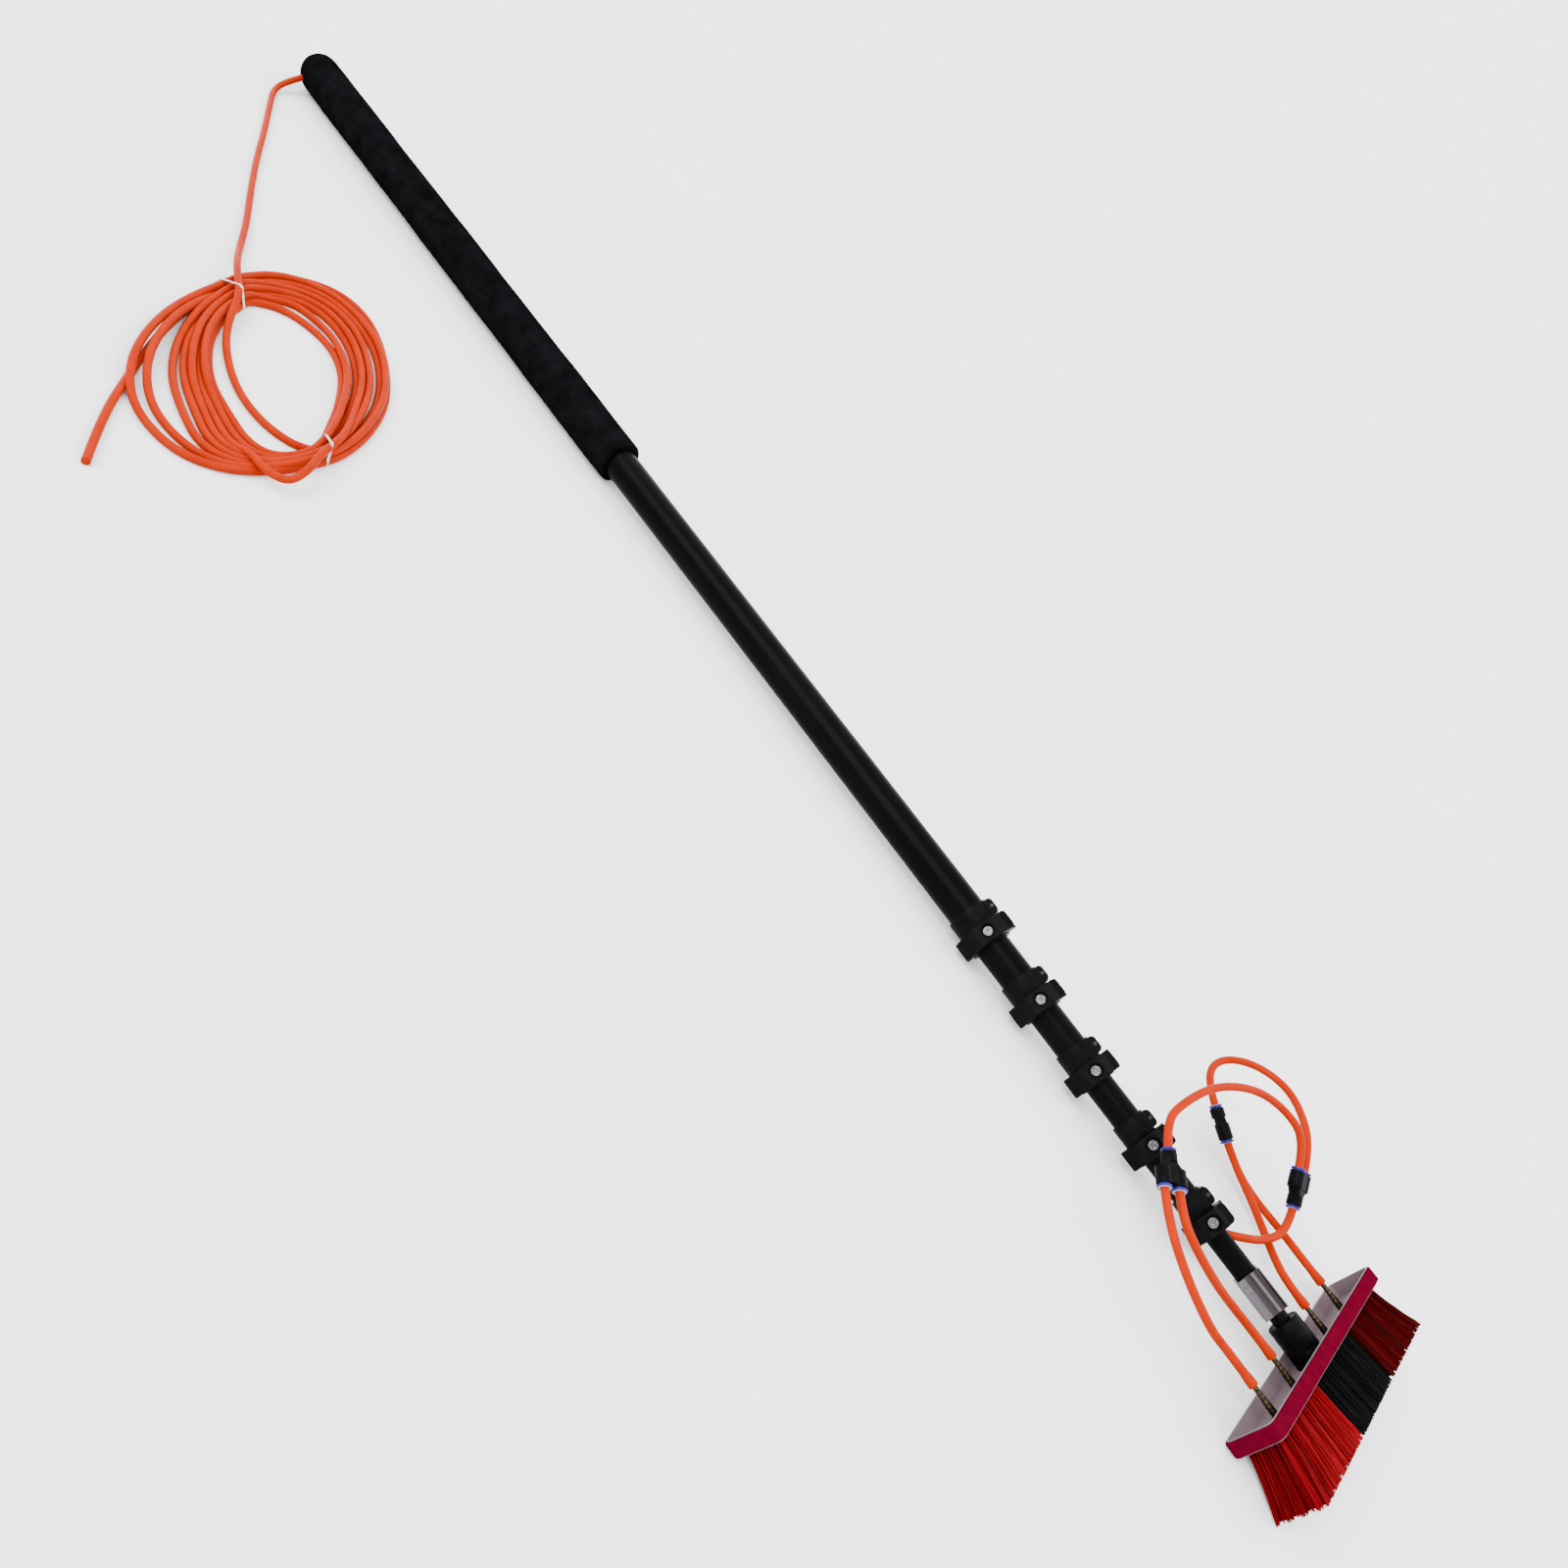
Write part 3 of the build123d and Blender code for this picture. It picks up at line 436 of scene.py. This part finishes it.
# ------------------------------------------------------------------ ties
def tie(name, a, b, width=2.6, thick=0.8):
    """A strap round the strands where they cross the line from a to b."""
    a = at(*a, 0)
    b = at(*b, 0)
    across = (b - a).normalized()
    along = Vector((0, 0, 1)).cross(across)
    hits = []
    for p, q in zip(supply_line, supply_line[1:]):
        u = (p - a).dot(along)
        v = (q - a).dot(along)
        if u * v <= 0 and u != v:
            c = p + (q - p) * (u / (u - v))
            reach_along = (c - a).dot(across)
            if -0.022 < reach_along < (b - a).length + 0.022:
                hits.append((reach_along, c.z))
    spots = []
    for x, z in hits:
        for k in range(24):
            turn = 2 * math.pi * k / 24
            spots.append((x + HOSE_D / 2 * math.cos(turn), max(0.0002, z + HOSE_D / 2 * math.sin(turn))))
    spots = sorted(set(spots))

    def chain(points):
        out = []
        for p in points:
            while len(out) > 1 and ((out[-1][0] - out[-2][0]) * (p[1] - out[-2][1])
                                    - (out[-1][1] - out[-2][1]) * (p[0] - out[-2][0])) <= 0:
                out.pop()
            out.append(p)
        return out

    hull = chain(spots)[:-1] + chain(spots[::-1])[:-1]
    verts = []
    faces = []
    n = len(hull)
    middle = np.array(hull).mean(axis=0)
    for i, (x, z) in enumerate(hull):
        prev = hull[i - 1]
        nxt = hull[(i + 1) % n]
        tx, tz = nxt[0] - prev[0], nxt[1] - prev[1]
        size = math.hypot(tx, tz) or 1
        nx, nz = tz / size, -tx / size
        if (x - middle[0]) * nx + (z - middle[1]) * nz < 0:
            nx, nz = -nx, -nz
        for side, out in ((-1, 0.05), (-1, thick), (1, thick), (1, 0.05)):
            zz = max(0.0001, z + nz * out * MM)
            along_strand = along * side * width / 2 * MM
            verts.append(a + across * (x + nx * out * MM) + along_strand + Vector((0, 0, zz)))
    for i in range(n):
        j = (i + 1) % n
        for k in range(4):
            m = (k + 1) % 4
            faces.append((i * 4 + k, i * 4 + m, j * 4 + m, j * 4 + k))
    return piece(name, verts, faces, TIE)


tie_1 = tie("tie_first", (521, -363), (558, -349))
tie_2 = tie("tie_second", (766, -360), (802, -372.5))
for t in (tie_1, tie_2):
    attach(t, "handle")
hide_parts("coil_ties")

# ------------------------------------------------------------------ brush-end hoses
# The hose's end swells where it is pushed over its barb.
CUFF_PROFILE = [(0, 3.6), (0, 4.02), (3, 4.1), (7, 4.5), (13.4, 4.7), (14.6, 4.5), (14.6, 3.3), (8, 3.3)]
cuffs = {}
for y in BARB_Y:
    name = f"hose_end_{int(y)}".replace("-", "m")
    cuff = turned_ring(name, at(BARB_TOP - 14, y, AXIS_Z), (1, 0, 0), CUFF_PROFILE, HOSE)
    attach(cuff, "section_6")
    cuffs[y] = cuff

end_hoses = [
    ("feed_line", feed, feed[0], [], ["feed_hose"]),
    ("mid_near_line", mid_near, mid_near[0], [], ["mid_hoses"]),
    ("mid_far_line", mid_far, mid_far[0], [], []),
    ("branch_near_1", near_1, near_1[0], [cuffs[BARB_Y[0]]], ["branch_hoses"]),
    ("branch_near_2", near_2, near_2[0], [cuffs[BARB_Y[1]]], []),
    ("branch_far_1", far_1, far_1[0], [cuffs[BARB_Y[2]]], []),
    ("branch_far_2", far_2, far_2[0], [cuffs[BARB_Y[3]]], []),
]
for name, points, leaves, with_pieces, replaced in end_hoses:
    curve = hose_curve(name, points)
    line = centre_of(curve)
    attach(curve, "section_6")
    if replaced:
        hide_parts(*replaced)


# ------------------------------------------------------------------ release rings
RING_PROFILE = [(0.0, 4.05), (0.0, 6.5), (0.35, 6.95), (1.5, 6.95), (1.8, 6.0), (3.2, 5.6), (3.2, 4.05)]
# RIM_PROFILE is a thin lip at each ring's mouth that carries the paler violet, a painted highlight.
RIM_PROFILE = [(-0.25, 4.3), (-0.25, 5.3), (0.02, 5.6), (0.02, 4.1)]
first_ring = None
for name, y in (("feed", Y_FEED), ("near", Y_NEAR), ("far", Y_FAR)):
    base, a, b = y_axes(y)
    for side in (0, -1, 1):
        if side:
            mouth = base + a * Y_LENGTH * MM + b * side * Y_SPACING / 2 * MM
        else:
            mouth = base
        inward = -a if side else a
        tag = {0: "single", -1: "left", 1: "right"}[side]
        ring = turned_ring(f"release_ring_{name}_{tag}", mouth, inward, RING_PROFILE, RING)
        rim = turned_ring(f"ring_rim_highlight_{name}_{tag}", mouth, inward, RIM_PROFILE, RING_RIM_HIGHLIGHT)
        for o in (ring, rim):
            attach(o, "section_6")
        first_ring = first_ring or ring
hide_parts("release_rings")


# ------------------------------------------------------------------ foam grip
def wobble(x, turn):
    """Slow unevenness of a foam sleeve, in mm."""
    return (0.22 * math.sin(x * 21 + 2 * turn) + 0.16 * math.sin(x * 47 + 1.3 + 3 * turn)
            + 0.1 * math.sin(x * 90 - 5 * turn))


def foam_grip():
    length = GRIP_LENGTH
    steps = 96
    profile = []
    for k in range(1, 13):
        a = math.radians(90 * (1 - k / 12))
        profile.append((-28 * math.sin(a), 28 * math.cos(a)))
    for s in np.arange(8, length - 6, 8):
        profile.append((float(s), 28.0))
    for k in range(6):
        a = math.radians(90 * k / 5)
        profile.append((length - 3.4 + 3.4 * math.sin(a), 24.6 + 3.4 * math.cos(a)))
    profile += [(length - 0.5, 21.5), (length - 1.2, 20.0), (length - 30, 20.0)]
    verts = [at(-28, 0, AXIS_Z)]
    faces = []
    for i, (s, r) in enumerate(profile):
        for k in range(steps):
            turn = 2 * math.pi * k / steps
            p = at(s, 0, AXIS_Z)
            rough = wobble(p.x, turn) if 5 < r and s < length - 2 else 0
            rr = (r + rough * min(1, r / 28)) * MM
            y = rr * math.cos(turn)
            z = rr * math.sin(turn)
            flat = -GRIP_R + 0.0004
            z = max(z, flat)
            verts.append(p + Vector((0, y, z)))
    for k in range(steps):
        j = (k + 1) % steps
        faces.append((0, 1 + j, 1 + k))
    for i in range(len(profile) - 1):
        for k in range(steps):
            j = (k + 1) % steps
            here = 1 + i * steps
            faces.append((here + k, here + j, here + steps + j, here + steps + k))
    last = 1 + (len(profile) - 1) * steps
    faces.append(tuple(range(last, last + steps)))
    return piece("foam_sleeve", verts, faces, FOAM, sharp_deg=60)


grip = foam_grip()
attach(grip, "handle")
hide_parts("foam_grip")


# ------------------------------------------------------------------ bristles
ROOT_S = 1989.0
TIP_S = 2041.0
ROOT_HALF = (126.5, 19.0)
TIP_HALF = (146.5, 25.5)


def bristles(name, y0, y1, look, count_each):
    """Bristle tufts between two places across the brush, every filament its own tapered strand."""
    pitch = 5.2
    tufts = []
    rows = int(2 * ROOT_HALF[1] / pitch) + 1
    for r in range(rows):
        z = -ROOT_HALF[1] + 2 * ROOT_HALF[1] * r / (rows - 1)
        shift = pitch / 2 * (r % 2)
        y = y0 + 1.5 + shift
        while y <= y1 - 1.5 + 0.01:
            tufts.append((y, z))
            y += pitch
    tufts = np.array(tufts)
    tone_of_tuft = random.uniform(0.25, 0.75, len(tufts))
    lean = random.normal(0, 0.6, (len(tufts), 2))
    sides = 3
    levels = np.array([0.0, 0.35, 0.7, 1.0])
    verts, tones, faces = [], [], []
    base = 0
    tip0 = y0 / ROOT_HALF[0] * TIP_HALF[0] if abs(y0) > 100 else y0
    tip1 = y1 / ROOT_HALF[0] * TIP_HALF[0] if abs(y1) > 100 else y1
    for s, low, high, half in ((ROOT_S, y0, y1, ROOT_HALF[1]), (TIP_S - 1.5, tip0, tip1, TIP_HALF[1])):
        low, high, half = low + 4.0, high - 4.0, half - 1.8
        for y, z in ((low, -half), (high, -half), (high, half), (low, half)):
            verts.append(tuple(at(s, y, 28 + z)))
            tones.append(0.1)
    faces += [(3, 2, 1, 0), (4, 5, 6, 7)] + [(k, (k + 1) % 4, 4 + (k + 1) % 4, 4 + k) for k in range(4)]
    base = 8
    for t, (ty, tz) in enumerate(tufts):
        for _ in range(count_each):
            turn = random.uniform(0, 2 * math.pi)
            far = 2.0 * math.sqrt(random.uniform(0, 1))
            y = ty + far * math.cos(turn)
            z = tz + far * math.sin(turn)
            y = min(max(y, y0 + 0.3), y1 - 0.3)
            share = (ty - y0) / (y1 - y0)
            py = tip0 + (tip1 - tip0) * share + lean[t, 0] + random.normal(0, 1.3) + (y - ty) * 1.4
            pz = tz / ROOT_HALF[1] * TIP_HALF[1] + lean[t, 1] + random.normal(0, 1.2) + (z - tz) * 1.3
            py = min(max(py, tip0 - 0.4), tip1 + 0.4)
            pz = min(max(pz, -TIP_HALF[1] - 0.4), TIP_HALF[1] + 0.4)
            reach = TIP_S - ROOT_S - abs(random.normal(0, 0.35))
            if random.uniform() < 0.006:
                reach -= random.uniform(2, 6)
            bow_y, bow_z = random.normal(0, 0.4, 2)
            tone = min(1, max(0, tone_of_tuft[t] + random.normal(0, 0.16)))
            if random.uniform() < 0.03:
                tone = 1.0
            for level in levels:
                ease = level ** 1.25
                bow = math.sin(math.pi * level)
                cx = ROOT_S + reach * level
                cy = y + (py - y) * ease + bow_y * bow
                cz = z + (pz - z) * ease + bow_z * bow
                width = 0.42 * (1 - 0.25 * level)
                for q in range(sides):
                    a = turn + 2 * math.pi * q / sides
                    verts.append(((cx - MID_S) * MM, (cy + width * math.cos(a)) * MM,
                                  (28 + cz + width * math.sin(a)) * MM))
                    # Each strand lightens towards its tip: painted light on the tips and painted shade
                    # towards the roots.
                    tones.append(min(1, tone + 0.16 * level))
            for level in range(len(levels) - 1):
                for q in range(sides):
                    p = (q + 1) % sides
                    faces.append((base + level * sides + q, base + level * sides + p,
                                  base + (level + 1) * sides + p, base + (level + 1) * sides + q))
            faces.append((base + 2, base + 1, base))
            end = base + (len(levels) - 1) * sides
            faces.append((end, end + 1, end + 2))
            base += len(levels) * sides
    mesh = bpy.data.meshes.new(name)
    mesh.from_pydata(verts, [], faces)
    mesh.materials.append(look)
    attribute = mesh.attributes.new("tone", "FLOAT", "POINT")
    attribute.data.foreach_set("value", np.array(tones, np.float32))
    mesh.update()
    o = bpy.data.objects.new(name, mesh)
    bpy.context.scene.collection.objects.link(o)
    return o


EACH = 34
for name, y0, y1, look, cad, slot in (
        ("bristle_tufts_near", -126.5, -47.0, RED, "bristles_near", "bristle_red"),
        ("bristle_tufts_middle", -46.5, 46.5, BLACK, "bristles_middle", "bristle_black"),
        ("bristle_tufts_far", 47.0, 126.5, SHADED_RED, "bristles_far", "bristle_red")):
    tufts = bristles(name, y0, y1, look, EACH)
    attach(tufts, "section_6")
    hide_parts(cad)

# ------------------------------------------------------------------ stage
size = 45.0
floor_mesh = bpy.data.meshes.new("floor")
corners = [(-size, -size, 0), (size, -size, 0), (size, size, 0), (-size, size, 0)]
floor_mesh.from_pydata(corners, [], [(0, 1, 2, 3)])
floor_mesh.materials.append(FLOOR)
floor = bpy.data.objects.new("floor", floor_mesh)
bpy.context.scene.collection.objects.link(floor)

world = bpy.data.worlds.new("studio")
bpy.context.scene.world = world
world.use_nodes = True
world.node_tree.nodes["Background"].inputs["Color"].default_value = (1, 1, 1, 1)
world.node_tree.nodes["Background"].inputs["Strength"].default_value = 3.7


def soft_sun(name, direction, power, spread_deg):
    data = bpy.data.lights.new(name, "SUN")
    data.energy = power
    data.angle = math.radians(spread_deg)
    o = bpy.data.objects.new(name, data)
    o.rotation_euler = Vector(direction).to_track_quat("-Z", "Y").to_euler()
    bpy.context.scene.collection.objects.link(o)


soft_sun("key", (0.45, 0.75, -1.0), 4.5, 40)
soft_sun("back", (-0.6, -0.7, -1.0), 2.0, 60)

# ------------------------------------------------------------------ camera
camera_data = bpy.data.cameras.new("camera")
camera_data.sensor_fit = "HORIZONTAL"
camera_data.sensor_width = 36.0
camera_data.lens = 28.125
camera_data.clip_start = 0.01
camera_data.clip_end = 100
camera = bpy.data.objects.new("camera", camera_data)
bpy.context.scene.collection.objects.link(camera)
right = Vector((0.565, 0.638, 0.523)).normalized()
back = Vector((0.320, -0.754, 0.574))
back = (back - right * right.dot(back)).normalized()
up = back.cross(right)
turned = Matrix((right, up, back)).transposed().to_4x4()
camera.matrix_world = Matrix.Translation((0.6732, -1.0424, 0.7318)) @ turned
bpy.context.scene.camera = camera
